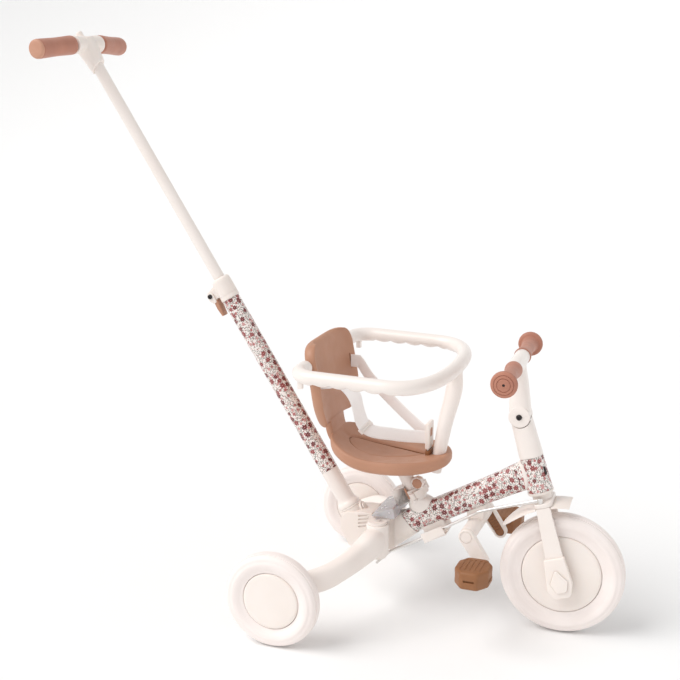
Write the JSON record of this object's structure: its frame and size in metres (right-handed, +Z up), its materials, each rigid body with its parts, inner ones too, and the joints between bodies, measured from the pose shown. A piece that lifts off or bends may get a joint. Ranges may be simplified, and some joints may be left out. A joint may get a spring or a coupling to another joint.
{
  "type": "convertible tricycle",
  "caption": "Toddler tricycle with a steering push pole, folding rear legs, seat with safety ring and harness, foot pedals parked under the main tube.",
  "frame": {"origin": "middle of the bounding box in plan, on the ground under the wheels", "axes": "+X forward, +Y to the rider's left, +Z up"},
  "size_m": [1.0611, 0.4944, 1.0426],
  "materials": {
    "cream_paint": "satin",
    "cream_plastic": "satin",
    "cream_foam": "matte",
    "tan_plastic": "satin",
    "tan_grip": "matte",
    "tan_pedal": "satin",
    "printed_paint": "satin, small flower print",
    "grey_lens": "translucent",
    "webbing": "woven",
    "steel": "zinc plated",
    "black_steel": "black"
  },
  "bodies": {
    "frame": {"main_tube": "printed_paint", "head_lug": "cream_paint", "head_tube": "printed_paint", "headset_cup": "cream_plastic", "rear_housing": "cream_plastic", "housing_nose": "cream_plastic", "leg_bolt_left": "steel", "leg_bolt_right": "steel", "seat_clamp": "cream_paint", "pedal_bracket": "cream_plastic", "rod_guide": "cream_plastic"},
    "fork": {"fork_crown": "cream_paint", "fork_blade_left": "cream_paint", "fork_blade_right": "cream_paint", "fork_cover_left": "cream_plastic", "fork_cover_right": "cream_plastic", "front_axle": "steel", "mudguard": "cream_plastic", "stem_post": "cream_paint", "stem_bolt": "black_steel"},
    "front_wheel": {"front_tyre": "cream_foam", "front_hub": "cream_plastic"},
    "handlebar": {"handlebar_stem": "cream_paint", "handlebar_tube": "steel", "grip_left": "tan_grip", "grip_right": "tan_grip"},
    "steering_rod": {"link_rod": "steel"},
    "leg_button": {"release_button": "grey_lens"},
    "leg_left": {"rear_leg_left": "cream_paint", "rear_axle_left": "steel"},
    "leg_right": {"rear_leg_right": "cream_paint", "rear_axle_right": "steel"},
    "wheel_left": {"rear_tyre_left": "cream_foam", "rear_hub_left": "cream_plastic"},
    "wheel_right": {"rear_tyre_right": "cream_foam", "rear_hub_right": "cream_plastic"},
    "swivel": {"pole_swivel": "cream_plastic"},
    "pole_catch": {"snap_button": "cream_plastic"},
    "pole": {"pole_foot": "cream_paint", "pole_lower_tube": "printed_paint", "pole_collar": "cream_plastic", "collar_bolt": "black_steel"},
    "pole_lever": {"collar_lever": "tan_plastic"},
    "upper_pole": {"pole_upper_tube": "cream_paint", "handle_tee": "cream_plastic", "push_grip_left": "tan_grip", "push_grip_right": "tan_grip"},
    "seat_lever": {"clamp_lever": "tan_plastic"},
    "seat": {"seat_post": "cream_paint", "seat_shell": "tan_plastic", "backrest": "tan_plastic", "strap_left": "webbing", "strap_right": "webbing", "crotch_strap": "webbing", "buckle": "cream_plastic"},
    "ring": {"safety_ring": "cream_paint"},
    "crank_arm_left": {"crank_left": "cream_plastic"},
    "crank_arm_right": {"crank_right": "cream_plastic"},
    "pedal_block_left": {"pedal_left": "tan_pedal"},
    "pedal_block_right": {"pedal_right": "tan_pedal"}
  },
  "joints": [
    {"name": "steer", "type": "hinge", "parent": "frame", "child": "fork", "pos_m": [0.36672, 0, 0.28914], "axis": [-0.289, 0, 0.9573], "range_deg": [-36, 28]},
    {"name": "front_wheel_spin", "type": "hinge", "parent": "fork", "child": "front_wheel", "pos_m": [0.42077, 0, 0.11012], "axis": [-0.0668, 0.9976, -0.0202], "continuous": true},
    {"name": "handlebar_tilt", "type": "hinge", "parent": "fork", "child": "handlebar", "pos_m": [0.33565, 0, 0.39205], "axis": [-0.0668, 0.9976, -0.0202], "range_deg": [-8, 30]},
    {"name": "rod_swing", "type": "hinge", "parent": "fork", "child": "steering_rod", "pos_m": [0.38095, -0.02693, 0.24852], "axis": [-0.289, 0, 0.9573], "range_deg": [-28, 36]},
    {"name": "leg_button_press", "type": "slide", "parent": "frame", "child": "leg_button", "axis": [0, 0, -1], "range_m": [0, 0.0025], "stiffness_N_per_m": 300, "springref_m": -0.003},
    {"name": "leg_fold_left", "type": "hinge", "parent": "frame", "child": "leg_left", "pos_m": [0.09277, 0.052, 0.146], "axis": [0, 0, 1], "range_deg": [0, 40]},
    {"name": "leg_fold_right", "type": "hinge", "parent": "frame", "child": "leg_right", "pos_m": [0.09277, -0.052, 0.146], "axis": [0, 0, -1], "range_deg": [0, 40]},
    {"name": "wheel_spin_left", "type": "hinge", "parent": "leg_left", "child": "wheel_left", "pos_m": [-0.03723, 0.2315, 0.0855], "axis": [0, 1, 0], "continuous": true},
    {"name": "wheel_spin_right", "type": "hinge", "parent": "leg_right", "child": "wheel_right", "pos_m": [-0.03723, -0.2315, 0.0855], "axis": [0, 1, 0], "continuous": true},
    {"name": "pole_steer", "type": "hinge", "parent": "frame", "child": "swivel", "pos_m": [0.02196, 0, 0.177], "axis": [-0.5299, 0, 0.848], "range_deg": [-36, 28]},
    {"name": "pole_catch_press", "type": "slide", "parent": "frame", "child": "pole_catch", "axis": [-0.848, 0, -0.5299], "range_m": [0, 0.002], "stiffness_N_per_m": 300, "springref_m": -0.003},
    {"name": "pole_pull", "type": "slide", "parent": "swivel", "child": "pole", "axis": [-0.5299, 0, 0.848], "range_m": [0, 0.06]},
    {"name": "pole_lever_open", "type": "hinge", "parent": "pole", "child": "pole_lever", "pos_m": [-0.25339, 0, 0.55915], "axis": [0, 1, 0], "range_deg": [0, 110]},
    {"name": "pole_length", "type": "slide", "parent": "pole", "child": "upper_pole", "axis": [-0.5299, 0, 0.848], "range_m": [-0.26, 0]},
    {"name": "seat_lever_open", "type": "hinge", "parent": "frame", "child": "seat_lever", "pos_m": [0.15012, -0.025, 0.22339], "axis": [0.4879, 0, -0.8729], "range_deg": [0, 100]},
    {"name": "seat_height", "type": "slide", "parent": "frame", "child": "seat", "axis": [-0.4879, 0, 0.8729], "range_m": [-0.01, 0.035]},
    {"name": "ring_lift", "type": "slide", "parent": "seat", "child": "ring", "axis": [0.1908, 0, 0.9816], "range_m": [0, 0.16]},
    {"name": "crank_pull_left", "type": "slide", "parent": "frame", "child": "crank_arm_left", "axis": [0, 1, 0], "range_m": [0, 0.045]},
    {"name": "crank_pull_right", "type": "slide", "parent": "frame", "child": "crank_arm_right", "axis": [0, -1, 0], "range_m": [0, 0.045]},
    {"name": "pedal_spin_left", "type": "hinge", "parent": "crank_arm_left", "child": "pedal_block_left", "pos_m": [0.29169, 0.129, 0.14079], "axis": [0, 1, 0], "continuous": true},
    {"name": "pedal_spin_right", "type": "hinge", "parent": "crank_arm_right", "child": "pedal_block_right", "pos_m": [0.29169, -0.129, 0.14079], "axis": [0, 1, 0], "continuous": true}
  ],
  "couplings": [
    {"joint": "rod_swing", "follows": "steer", "ratio": -1},
    {"joint": "pole_steer", "follows": "steer", "ratio": 1}
  ]
}
